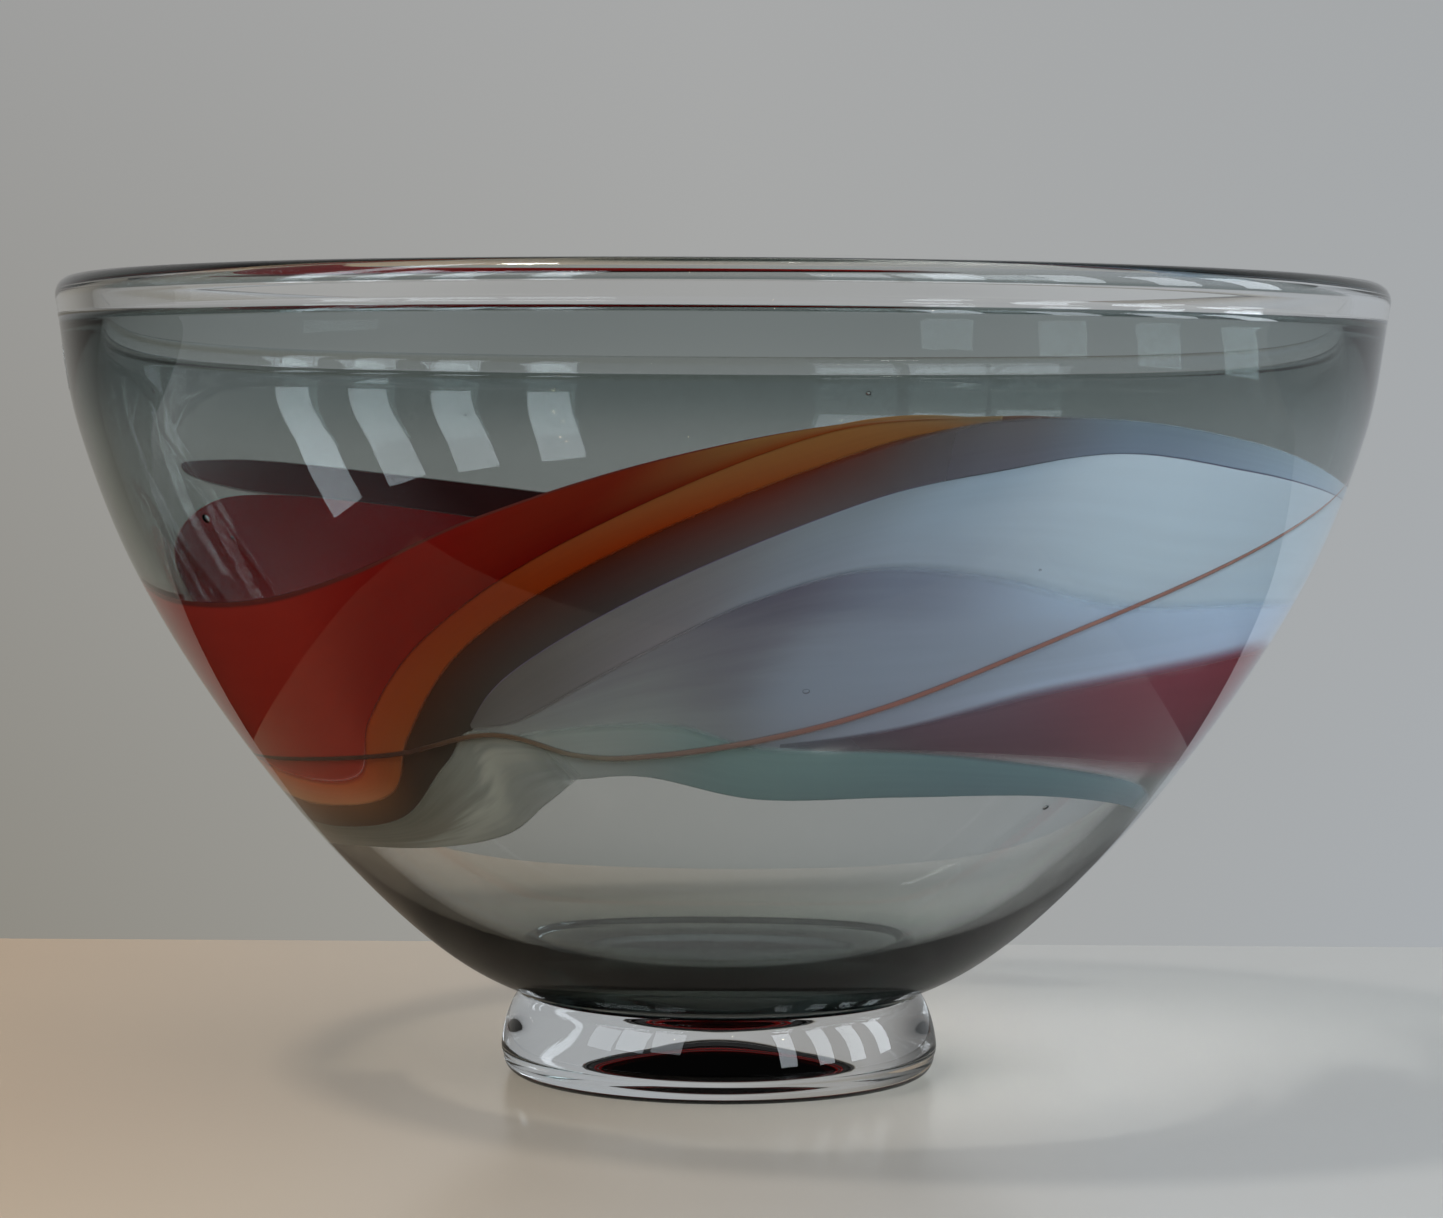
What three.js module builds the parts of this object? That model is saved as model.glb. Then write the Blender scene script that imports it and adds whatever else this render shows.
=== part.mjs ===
// A footed bowl of cased art glass: a smoke-grey inner bowl, coloured glass ribbons and one fine
// thread laid on it, a clear casing over them, a clear lip wrap and a clear foot.
// Millimetres, +Z up. The origin is the centre of the foot's base and the ribbons' front faces -Y.
import * as THREE from 'three';

// Driving dimensions
const BODY_TOP = 182.8; // where the grey wall ends and the clear lip begins
const BODY_RADIUS = 159.6; // there
const BODY_BOTTOM = 13.5; // middle of the underside, inside the foot
const LIP_HEIGHT = 9.2;
const WALL_MIDDLE = 5.5; // whole wall, halfway up
const WALL_EXTRA_BASE = 7;
const WALL_EXTRA_LIP = 3.2;
const WALL_FADE = 14; // heights over which the wall thins away from its thick base and lip
const LIP_FADE = 17;
const CASING_WALL = 1.7;
const CLEARANCE = 0.3; // between glass layers
const FLATS_ROOM = 0.35; // more room behind the ribbons, whose flats cut inside the round
const THREAD_THICKNESS = 0.5;
const THREAD_WIDTH = 1.6;
const RIBBON_THICKNESS = 0.5;
const RIBBON_MARGIN = 0.4; // drawn in from a seam that two ribbons share
const BAND_BOTTOM = 48; // the ribbons lie between these two heights
const BAND_TOP = 170;
const BAND_FADE = 7;
const FOOT_RADIUS = 53.3;
const FOOT_EDGE = 4.6; // rounding of the foot's lower edge
const PONTIL_RADIUS = 38; // polished hollow under the foot
const PONTIL_DEPTH = 4.6;
const SEAT_RADIUS = 48.4;
const LABEL_RADIUS = 5.5;
const LABEL_THICKNESS = 0.3;
const LABEL_ANGLE = -80;
const LABEL_HEIGHT = 171;
const SIDES = 64; // facets round every turned piece
const RINGS = 16; // facets from the middle of the bottom to the top of the wall

// Outer skin of the bowl, from the middle of its underside to the top of the grey wall: radius, height
const outerSkin = new THREE.SplineCurve([
  [0, BODY_BOTTOM], [32, 16], [62, 27], [92, 53], [120, 87], [142, 123], [155, 157],
  [BODY_RADIUS, BODY_TOP],
].map(([radius, height]) => new THREE.Vector2(radius, height)));

// Each ring of the faceted wall: a point of the outer skin and the direction into the glass
const rings = Array.from({ length: RINGS + 1 }, (_, i) => {
  const point = outerSkin.getPointAt(i / RINGS);
  const along = i === 0 ? new THREE.Vector2(1, 0) : outerSkin.getTangentAt(i / RINGS);
  return { point, along, inward: new THREE.Vector2(-along.y, along.x) };
});

function ringPoint(ring, depth) {
  return new THREE.Vector2(
    Math.max(0, ring.point.x + ring.inward.x * depth),
    ring.point.y + ring.inward.y * depth,
  );
}

function wallThickness(height) {
  const base = WALL_EXTRA_BASE * Math.exp((BODY_BOTTOM - height) / WALL_FADE);
  const lip = WALL_EXTRA_LIP * Math.exp((height - BODY_TOP) / LIP_FADE);
  return WALL_MIDDLE + base + lip;
}

// The smoke bowl keeps clear of the casing, and further in where thread and ribbons lie between them
const THREAD_DEPTH = CASING_WALL + CLEARANCE;
const RIBBON_DEPTH = THREAD_DEPTH + THREAD_THICKNESS + CLEARANCE;
const SMOKE_DEPTH = RIBBON_DEPTH + RIBBON_THICKNESS + CLEARANCE + FLATS_ROOM;
function smokeDepth(height) {
  const bandStart = THREE.MathUtils.smoothstep(height, BAND_BOTTOM - BAND_FADE, BAND_BOTTOM);
  const bandEnd = THREE.MathUtils.smoothstep(height, BAND_TOP, BAND_TOP + BAND_FADE);
  return THREE.MathUtils.lerp(THREAD_DEPTH, SMOKE_DEPTH, bandStart - bandEnd);
}

function glass(colour, roughness = 0.05) {
  return new THREE.MeshStandardMaterial({ color: colour, roughness, metalness: 0 });
}

// A turned solid from a profile of (radius, height) points that goes up the outside
function turned(name, profile, material) {
  const geometry = new THREE.LatheGeometry(profile, SIDES);
  geometry.rotateX(Math.PI / 2); // the lathe turns about Y
  const mesh = new THREE.Mesh(geometry, material);
  mesh.name = name;
  return mesh;
}

// A shell between two depths in the wall, from its outside in
function shell(name, outerDepth, innerDepth, material) {
  const outside = rings.map((ring) => ringPoint(ring, outerDepth(ring.point.y)));
  const inside = rings.map((ring) => ringPoint(ring, innerDepth(ring.point.y)));
  return turned(name, [...outside, ...inside.reverse()], material);
}

// The clear lip: straight sides that carry the wall on upwards, closed by a half-round top
function lipWrap() {
  const top = rings[RINGS];
  const wall = wallThickness(top.point.y);
  const roundRadius = wall / 2;
  const local = [[0, CLEARANCE]];
  const steps = 8;
  for (let i = 0; i <= steps; i += 1) {
    const turn = (Math.PI * i) / steps;
    local.push([
      roundRadius * (1 - Math.cos(turn)),
      LIP_HEIGHT - roundRadius + roundRadius * Math.sin(turn),
    ]);
  }
  local.push([wall, CLEARANCE], [0, CLEARANCE]);
  const profile = local.map(([depth, rise]) => {
    const point = ringPoint(top, depth);
    return point.addScaledVector(top.along, rise);
  });
  return turned('lip_wrap', profile, glass(0xdfe3e2));
}

// The foot: a flat ground base round a shallow polished hollow, a rounded edge, sides that lean in to
// the joint, and a seat that follows the bowl's underside
function foot() {
  const profile = [new THREE.Vector2(0, PONTIL_DEPTH)];
  const hollowSteps = 6;
  for (let i = 1; i <= hollowSteps; i += 1) {
    const share = i / hollowSteps;
    profile.push(new THREE.Vector2(PONTIL_RADIUS * share, PONTIL_DEPTH * (1 - share * share)));
  }
  const edgeSteps = 3;
  const edgeCentre = FOOT_RADIUS - 0.5 - FOOT_EDGE;
  for (let i = 0; i <= edgeSteps; i += 1) {
    const turn = (Math.PI / 2) * (i / edgeSteps);
    profile.push(new THREE.Vector2(
      edgeCentre + FOOT_EDGE * Math.sin(turn),
      FOOT_EDGE * (1 - Math.cos(turn)),
    ));
  }
  [[0, 6.5], [0.4, 10], [1.4, 14], [2.8, 17.5], [4.4, 19.6]].forEach(([leanIn, height]) => {
    profile.push(new THREE.Vector2(FOOT_RADIUS - leanIn, height));
  });
  const seatRings = rings.filter((ring) => ring.point.x < SEAT_RADIUS).reverse();
  seatRings.forEach((ring) => profile.push(ringPoint(ring, -CLEARANCE)));
  return turned('foot', profile, glass(0xe6eaea));
}

// A point inside the faceted wall, from its angle round the bowl, its height on the outer skin and its
// depth under it. Angle 0 is the front (-Y) and grows towards +X.
const FACET = 360 / SIDES;
function wallPoint(angle, height, depth) {
  const above = Math.max(1, rings.findIndex((ring) => ring.point.y >= height));
  const lower = rings[above - 1];
  const upper = rings[above];
  const rise = (height - lower.point.y) / (upper.point.y - lower.point.y);
  const section = ringPoint(lower, depth).lerp(ringPoint(upper, depth), rise);
  const side = Math.floor(angle / FACET);
  const corner = (index) => {
    const turn = THREE.MathUtils.degToRad(index * FACET);
    return new THREE.Vector3(section.x * Math.sin(turn), -section.x * Math.cos(turn), section.y);
  };
  return corner(side).lerp(corner(side + 1), angle / FACET - side);
}

// A thin curved plate inside the wall, between an upper and a lower edge of (angle, height) points.
// Matching points of the two edges face each other.
function ribbon(name, colour, upper, lower, { depth = RIBBON_DEPTH, margin = RIBBON_MARGIN,
  thickness = RIBBON_THICKNESS, steps = 26, rows = 3 } = {}) {
  const toCurve = (points) => new THREE.SplineCurve(points.map(([a, h]) => new THREE.Vector2(a, h)));
  const upperEdge = toCurve(upper);
  const lowerEdge = toCurve(lower);
  const vertices = [];
  for (const side of [depth, depth + thickness]) {
    for (let i = 0; i <= steps; i += 1) {
      const high = upperEdge.getPoint(i / steps);
      const low = lowerEdge.getPoint(i / steps);
      const span = wallPoint(high.x, high.y, side).distanceTo(wallPoint(low.x, low.y, side));
      const inset = Math.min(0.3, margin / span);
      for (let k = 0; k <= rows; k += 1) {
        const share = THREE.MathUtils.lerp(inset, 1 - inset, k / rows);
        const place = high.clone().lerp(low, share);
        vertices.push(wallPoint(place.x, place.y, side));
      }
    }
  }
  const across = rows + 1;
  const sheet = (steps + 1) * across;
  const index = [];
  const quad = (a, b, c, d) => index.push(a, b, c, a, c, d);
  for (let i = 0; i < steps; i += 1) {
    for (let k = 0; k < rows; k += 1) {
      const a = i * across + k;
      quad(a, a + 1, a + across + 1, a + across);
      quad(sheet + a, sheet + a + across, sheet + a + across + 1, sheet + a + 1);
    }
    const top = i * across;
    const bottom = top + rows;
    quad(top, top + across, sheet + top + across, sheet + top);
    quad(bottom, sheet + bottom, sheet + bottom + across, bottom + across);
  }
  for (let k = 0; k < rows; k += 1) {
    const end = steps * across + k;
    quad(k, sheet + k, sheet + k + 1, k + 1);
    quad(end, end + 1, sheet + end + 1, sheet + end);
  }
  const geometry = new THREE.BufferGeometry().setFromPoints(vertices);
  geometry.setIndex(index);
  geometry.computeVertexNormals();
  const mesh = new THREE.Mesh(geometry, glass(colour, 0.15));
  mesh.name = name;
  return mesh;
}

// Edges of the ribbons, as (angle, height) points in the order of growing angle
const redTop = [
  [-84, 123], [-66, 118], [-48, 119], [-34, 126], [-20, 139], [-5, 151], [9, 158.5], [22, 160.5],
];
const redBottom = [[-84, 81], [-62, 76], [-46, 78], [-39, 92], [-28, 112], [-12, 135], [8, 157], [22, 160]];
const orangeBottom = [
  [-84, 71], [-60, 70], [-42, 75], [-34, 90], [-23, 112], [-6, 135], [12, 154], [22, 159.5],
];
const charcoalBottom = [
  [-84, 64], [-60, 64], [-42, 69], [-31, 83], [-20, 105], [-4, 126], [12, 143], [22, 149],
];
const slateTop = [[23, 160], [34, 160], [50, 155], [72, 146], [95, 142], [118, 138]];
const slateBottom = [[23, 149.5], [34, 153], [50, 149], [72, 143], [95, 139], [118, 135]];
const iceTop = [...charcoalBottom.slice(4), ...slateBottom.slice(1)];
const iceBottom = [
  [-19, 97], [-8, 110], [2, 122], [12, 129], [23, 127], [38, 120], [60, 119], [95, 116], [118, 114],
];
const veilBottom = [
  [-17, 93], [-8, 94], [0, 92], [6, 90.5], [18, 94], [34, 103], [58, 109], [84, 111], [110, 110],
];
const plumTop = [[8, 90], [18, 93.5], [34, 102.5], [58, 108.5], [71, 109.5], [84, 105], [97, 93]];
const plumBottom = [[8, 89], [20, 88], [38, 83], [54, 78], [71, 76], [84, 79], [97, 87]];
const greenTop = [[-13, 91], [-5, 93], [4, 88.5], [20, 87], [38, 82.5], [56, 76.5], [70, 71]];
const greenBottom = [[-13, 83], [-8, 82], [4, 77], [20, 77], [38, 76], [56, 72], [70, 68]];
const tailTop = [[-84, 64], [-60, 64], [-42, 68.5], [-31, 82], [-25, 91], [-18, 89]];
const tailBottom = [[-84, 57], [-60, 60], [-40, 62.5], [-27, 67], [-20, 75], [-16, 83]];
const maroonTop = [[-210, 110], [-172, 123], [-140, 135], [-119, 138], [-105, 132], [-88, 118]];
const maroonBottom = [[-210, 104], [-172, 100], [-140, 98], [-119, 94], [-105, 90], [-88, 86]];
const umberTop = [[-212, 118], [-188, 130], [-160, 140.5], [-136, 147.5], [-121, 150], [-107, 148.5]];
const umberBottom = [[-212, 111], [-188, 117], [-160, 128.5], [-136, 137], [-120, 140], [-107, 145]];
const thread = [
  [-84, 79], [-60, 81], [-38, 85], [-24, 91], [-15, 87], [-8, 87], [4, 91], [17, 99], [37, 117],
  [60, 135], [78, 147],
];

// Layers and fittings, from the inside out
const group = new THREE.Group();
group.add(
  shell('smoke_bowl', smokeDepth, wallThickness, glass(0x7c8585)),
  shell('clear_casing', () => 0, () => CASING_WALL, glass(0xd5dada)),
  lipWrap(),
  foot(),
  ribbon('ribbon_red', 0x8a1710, redTop, redBottom, { rows: 5 }),
  ribbon('ribbon_orange', 0xb0560f, redBottom, orangeBottom, { rows: 2 }),
  ribbon('ribbon_charcoal', 0x33302f, orangeBottom, charcoalBottom, { rows: 2 }),
  ribbon('ribbon_slate', 0x5f6b7e, slateTop, slateBottom, { rows: 2, steps: 20 }),
  ribbon('ribbon_ice', 0xa9bccf, iceTop, iceBottom, { rows: 4, steps: 30 }),
  ribbon('ribbon_violet', 0x77778a, iceBottom, veilBottom, { rows: 4, steps: 30 }),
  ribbon('ribbon_plum', 0x6f3a40, plumTop, plumBottom, { rows: 4, steps: 20 }),
  ribbon('ribbon_sea_green', 0x62817f, greenTop, greenBottom, { rows: 2, steps: 24 }),
  ribbon('ribbon_grey_green', 0x74807a, tailTop, tailBottom, { rows: 3, steps: 24 }),
  ribbon('ribbon_maroon', 0x4a1d1e, maroonTop, maroonBottom, { rows: 4, steps: 24 }),
  ribbon('ribbon_umber', 0x2b2020, umberTop, umberBottom, { rows: 2, steps: 20 }),
);

// The thread is drawn out flat between the casing and the ribbons
const threadTop = thread.map(([angle, height]) => [angle, height + THREAD_WIDTH / 2]);
const threadBottom = thread.map(([angle, height]) => [angle, height - THREAD_WIDTH / 2]);
group.add(ribbon('copper_thread', 0x8f5a48, threadTop, threadBottom, {
  depth: THREAD_DEPTH, thickness: THREAD_THICKNESS, margin: 0, steps: 60, rows: 1,
}));

// A blank round label on the outside, just under the lip
const labelGeometry = new THREE.CylinderGeometry(LABEL_RADIUS, LABEL_RADIUS, LABEL_THICKNESS, 24);
labelGeometry.rotateX(Math.PI / 2); // its face looks along Z
const label = new THREE.Mesh(labelGeometry, glass(0xd8dcdc, 0.3));
label.name = 'blank_label';
label.position.copy(wallPoint(LABEL_ANGLE, LABEL_HEIGHT, -CLEARANCE - LABEL_THICKNESS / 2));
const labelBack = wallPoint(LABEL_ANGLE, LABEL_HEIGHT, 0);
label.lookAt(labelBack);
group.add(label);

export default group;
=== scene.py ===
import math

import bmesh
import bpy
import numpy as np
from mathutils import Matrix, Vector


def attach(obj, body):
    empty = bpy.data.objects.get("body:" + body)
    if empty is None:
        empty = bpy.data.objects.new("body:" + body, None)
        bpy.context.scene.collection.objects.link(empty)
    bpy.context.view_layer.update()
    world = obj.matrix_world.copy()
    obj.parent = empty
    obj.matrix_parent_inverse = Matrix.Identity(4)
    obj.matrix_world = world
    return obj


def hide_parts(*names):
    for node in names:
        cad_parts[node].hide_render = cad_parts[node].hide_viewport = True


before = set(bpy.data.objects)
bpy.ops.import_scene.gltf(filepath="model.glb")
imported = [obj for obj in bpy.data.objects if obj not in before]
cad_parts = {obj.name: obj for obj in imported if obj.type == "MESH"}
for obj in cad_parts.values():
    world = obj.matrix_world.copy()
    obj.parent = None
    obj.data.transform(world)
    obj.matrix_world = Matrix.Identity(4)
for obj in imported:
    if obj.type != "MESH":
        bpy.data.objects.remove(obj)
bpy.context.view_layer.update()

# ---------------------------------------------------------------- dimensions, in millimetres
MM = 0.001
BODY_TOP = 182.8
BODY_RADIUS = 159.6
BODY_BOTTOM = 13.5
LIP_HEIGHT = 9.2
WALL_MIDDLE = 5.5
WALL_EXTRA_BASE = 7.0
WALL_EXTRA_LIP = 3.2
WALL_FADE = 14.0
LIP_FADE = 17.0
GREY_WALL = 0.7  # thickness of the grey glass low in the wall
GREY_WALL_TOP = 2.0  # how much thicker it is high in the wall
GREY_LIP = 3.2  # and again at the lip
GREY_BASE = 10.8  # and at the bottom of the bowl
FUSED_GAP = 0.02  # fused glass layers are drawn this far apart
FOOT_RADIUS = 53.3
FOOT_EDGE = 4.6  # rounding of its lower edge
FOOT_EDGE_IN = 0.5  # the rounding stands this far in from the widest part
FOOT_SIDE = [(0, 6.5), (0.4, 10), (1.4, 14), (2.8, 17.5), (4.35, 19.9)]  # how far in at each height
PONTIL_RADIUS = 38.0
PONTIL_DEPTH = 4.6
SEAT_RADIUS = 48.4
LABEL_RADIUS = 5.5
LABEL_ANGLE = -80.0
LABEL_HEIGHT = 171.0
LABEL_FILM = 0.1
LABEL_GAP = 0.02

SIDES = 256
RINGS = 150

# Outer skin of the bowl, from the middle of its underside to the top of the grey wall
OUTER_SKIN = [(0, BODY_BOTTOM), (32, 16), (62, 27), (92, 53), (120, 87), (142, 123), (155, 157),
              (BODY_RADIUS, BODY_TOP)]


# ---------------------------------------------------------------- curves
def spline(points, share):
    """A smooth curve through the points, read at a share from 0 to 1 of its spans."""
    p = np.array(points, float)
    place = np.clip(np.asarray(share, float), 0, 1) * (len(p) - 1)
    first = np.minimum(place.astype(int), len(p) - 2)
    w = (place - first)[..., None]
    p0, p1 = p[np.maximum(first - 1, 0)], p[first]
    p2, p3 = p[first + 1], p[np.minimum(first + 2, len(p) - 1)]
    v0, v1 = (p2 - p0) / 2, (p3 - p1) / 2
    return ((2 * p1 - 2 * p2 + v0 + v1) * w**3 + (3 * p2 - 3 * p1 - 2 * v0 - v1) * w**2
            + v0 * w + p1)


def even_spacing(points, count):
    """The same line with count + 1 points at even distances."""
    length = np.r_[0, np.cumsum(np.hypot(*np.diff(points, axis=0).T))]
    at = np.linspace(0, length[-1], count + 1)
    return np.stack([np.interp(at, length, points[:, i]) for i in (0, 1)], 1)


def smooth_step(low, high, value):
    share = np.clip((value - low) / (high - low), 0, 1)
    return share * share * (3 - 2 * share)


skin = even_spacing(spline(OUTER_SKIN, np.linspace(0, 1, 2000)), RINGS)
skin_along = np.gradient(skin, axis=0)
skin_along /= np.hypot(*skin_along.T)[:, None]
skin_along[0] = (1, 0)
skin_inward = np.stack([-skin_along[:, 1], skin_along[:, 0]], 1)


def wall_thickness(height):
    base = WALL_EXTRA_BASE * np.exp((BODY_BOTTOM - height) / WALL_FADE)
    lip = WALL_EXTRA_LIP * np.exp((height - BODY_TOP) / LIP_FADE)
    return WALL_MIDDLE + base + lip


def smoke_depth(height):
    """How deep under the outer skin the grey glass begins. The grey is thick at the base and the lip."""
    wall = GREY_WALL + GREY_WALL_TOP * smooth_step(60, 155, height)
    lip = GREY_LIP * smooth_step(150, BODY_TOP, height)
    base = GREY_BASE * np.exp((BODY_BOTTOM - height) / 9)
    return wall_thickness(height) - wall - lip - base


def offset_skin(depth):
    """The outer skin moved into the glass; depth is a number or one for each ring."""
    moved = skin + skin_inward * np.broadcast_to(depth, len(skin))[:, None]
    moved[0, 0] = 0
    return moved


def wall_place(height, depth):
    """(radius, height) of points in the wall, from their height on the skin and depth under it."""
    columns = (skin[:, 0], skin[:, 1], skin_inward[:, 0], skin_inward[:, 1])
    r, z, inward_r, inward_z = (np.interp(height, skin[:, 1], c) for c in columns)
    return r + inward_r * depth, z + inward_z * depth


# ---------------------------------------------------------------- meshes
def link_mesh(name, vertices, faces, slots=None, smooth=True):
    mesh = bpy.data.meshes.new(name)
    mesh.from_pydata([tuple(v) for v in vertices], [], faces)
    mesh.polygons.foreach_set("use_smooth", [smooth] * len(mesh.polygons))
    if slots is not None:
        mesh.polygons.foreach_set("material_index", slots)
    mesh.update()
    piece = bpy.data.objects.new(name, mesh)
    bpy.context.scene.collection.objects.link(piece)
    return piece


def add_layer(piece, name, values):
    """A number for each vertex, for the material to read."""
    layer = piece.data.attributes.new(name, "FLOAT", "POINT")
    layer.data.foreach_set("value", values)


def revolve(name, profile, slots, wave=None):
    """A closed solid of revolution. profile runs up the outside and back down the inside, in mm; slots
    holds a material slot for each span between its points. Where it ends on the axis, a fan closes it."""
    profile = np.array(profile, float)
    on_axis = profile[:, 0] < 1e-6
    turns = np.arange(SIDES) * (2 * math.pi / SIDES)
    vertices, rows = [], []
    for (radius, height), pole in zip(profile, on_axis):
        if pole:
            rows.append([len(vertices)] * SIDES)
            vertices.append((0, 0, height * MM))
            continue
        rows.append(list(range(len(vertices), len(vertices) + SIDES)))
        shift = np.zeros(SIDES) if wave is None else wave(turns, height)
        for turn, out in zip(turns, shift):
            far = (radius + out) * MM
            vertices.append((far * math.sin(turn), -far * math.cos(turn), height * MM))
    spans = len(profile) if not on_axis.any() else len(profile) - 1
    faces, face_slots = [], []
    for i in range(spans):
        here, above = rows[i], rows[(i + 1) % len(rows)]
        for k in range(SIDES):
            n = (k + 1) % SIDES
            corners = dict.fromkeys([here[k], here[n], above[n], above[k]])
            faces.append(list(corners))
            face_slots.append(slots[i])
    return link_mesh(name, vertices, faces, face_slots)


SKIN, FUSED = 0, 1  # faces against air, and faces against other glass


def hand_made(turns, height):
    """The slight waviness of hot-worked glass, in mm: never outward, and fading towards the base."""
    ripple = (0.16 * np.sin(2 * turns + 0.7 + height / 47) + 0.10 * np.sin(3 * turns + height / 31)
              + 0.05 * np.sin(7 * turns + 2.1 - height / 19))
    return smooth_step(20, 120, height) * (ripple - 0.31)


def in_wall(angle, height, depth):
    """Points in the wall, in metres, from their angle round the bowl, height on the skin and depth."""
    radius, up = wall_place(height, depth)
    turn = np.radians(angle)
    radius = radius + hand_made(turn, up)
    return np.stack([radius * np.sin(turn), -radius * np.cos(turn), up + 0 * turn], -1) * MM


def build_smoke_bowl():
    outside = offset_skin(smoke_depth(skin[:, 1]) + FUSED_GAP)
    inside = offset_skin(wall_thickness(skin[:, 1]))[::-1]
    slots = [FUSED] * len(outside) + [SKIN] * (len(inside) - 1)
    piece = revolve("glass_smoke_bowl", [*outside, *inside], slots, hand_made)
    mark = piece.data.attributes.new("fused", "FLOAT", "FACE")
    values = np.zeros(len(piece.data.polygons), int)
    piece.data.polygons.foreach_get("material_index", values)
    mark.data.foreach_set("value", values.astype(float))
    piece.data.polygons.foreach_set("material_index", values * 0)
    return piece


# Air bubbles caught in the casing: angle, height and half their width
SEEDS = [(-50, 137, 1.4), (-47, 133, 0.5), (-55, 131, 0.4), (8, 102, 0.8), (42, 73, 0.9), (-53, 165, 0.5),
         (11, 165, 0.6), (28, 128, 0.35), (-20, 160, 0.35), (70, 150, 0.5), (150, 90, 0.7), (205, 140, 0.5)]
SEED_DEPTH = 0.85
SEED_THICKNESS = 0.35


def add_seeds(piece):
    """Lens-shaped hollows, so their faces look inwards."""
    hollows = bmesh.new()
    for angle, height, size in SEEDS:
        inward_r, inward_z = (np.interp(height, skin[:, 1], column) for column in skin_inward.T)
        place = Matrix.Translation(in_wall(angle, height, SEED_DEPTH))
        facing = (Matrix.Rotation(math.radians(angle), 4, "Z")
                  @ Matrix.Rotation(math.atan2(inward_z, -inward_r), 4, "X"))
        shape = Matrix.Diagonal((size * MM, SEED_THICKNESS * MM, size * 0.75 * MM, 1))
        bmesh.ops.create_uvsphere(hollows, u_segments=24, v_segments=14, radius=1,
                                  matrix=place @ facing @ shape)
    bmesh.ops.reverse_faces(hollows, faces=hollows.faces)
    for face in hollows.faces:
        face.smooth = True
    shapes = bpy.data.meshes.new("seeds")
    hollows.to_mesh(shapes)
    hollows.free()
    whole = bmesh.new()
    whole.from_mesh(piece.data)
    whole.from_mesh(shapes)
    whole.to_mesh(piece.data)
    whole.free()
    bpy.data.meshes.remove(shapes)


def build_clear_casing():
    outside = offset_skin(0)
    inside = offset_skin(smoke_depth(skin[:, 1]))[::-1]
    slots = [SKIN if r > SEAT_RADIUS else FUSED for r, _ in outside[1:]]
    slots += [FUSED] * len(inside)
    piece = revolve("glass_clear_casing", [*outside, *inside], slots, hand_made)
    add_seeds(piece)
    return piece


def build_lip_wrap():
    wall = float(wall_thickness(BODY_TOP))
    half = wall / 2
    turn = np.linspace(0, math.pi, 25)
    depth = half * (1 - np.cos(turn))
    rise = LIP_HEIGHT - half + half * np.sin(turn)
    low = np.linspace(FUSED_GAP, LIP_HEIGHT - half, 6)
    depth = np.r_[np.zeros(5), depth, np.full(5, wall)]
    rise = np.r_[low[:-1], rise, low[:-1][::-1]]
    profile = skin[-1] + depth[:, None] * skin_inward[-1] + rise[:, None] * skin_along[-1]
    slots = [SKIN] * (len(profile) - 1) + [FUSED]
    return revolve("glass_lip_wrap", profile, slots, hand_made)


def build_foot():
    share = np.linspace(0, 1, 16)
    hollow = np.stack([PONTIL_RADIUS * share, PONTIL_DEPTH * (1 - share**2)], 1)
    edge_centre = FOOT_RADIUS - FOOT_EDGE_IN - FOOT_EDGE
    ground = np.stack([np.linspace(PONTIL_RADIUS, edge_centre, 8)[1:], np.zeros(7)], 1)
    turn = np.linspace(0, math.pi / 2, 9)[1:]
    edge = np.stack([edge_centre + FOOT_EDGE * np.sin(turn), FOOT_EDGE * (1 - np.cos(turn))], 1)
    leaning = [(FOOT_RADIUS - lean_in, height) for lean_in, height in FOOT_SIDE]
    side = spline([edge[-1], *leaning], np.linspace(0, 1, 30))[1:]
    seat = offset_skin(-FUSED_GAP)
    seat = seat[skin[:, 0] < SEAT_RADIUS][::-1]
    profile = np.concatenate([hollow, ground, edge, side, seat])
    slots = [SKIN] * (len(profile) - len(seat)) + [FUSED] * (len(seat) - 1)
    return revolve("glass_foot", profile, slots)


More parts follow.
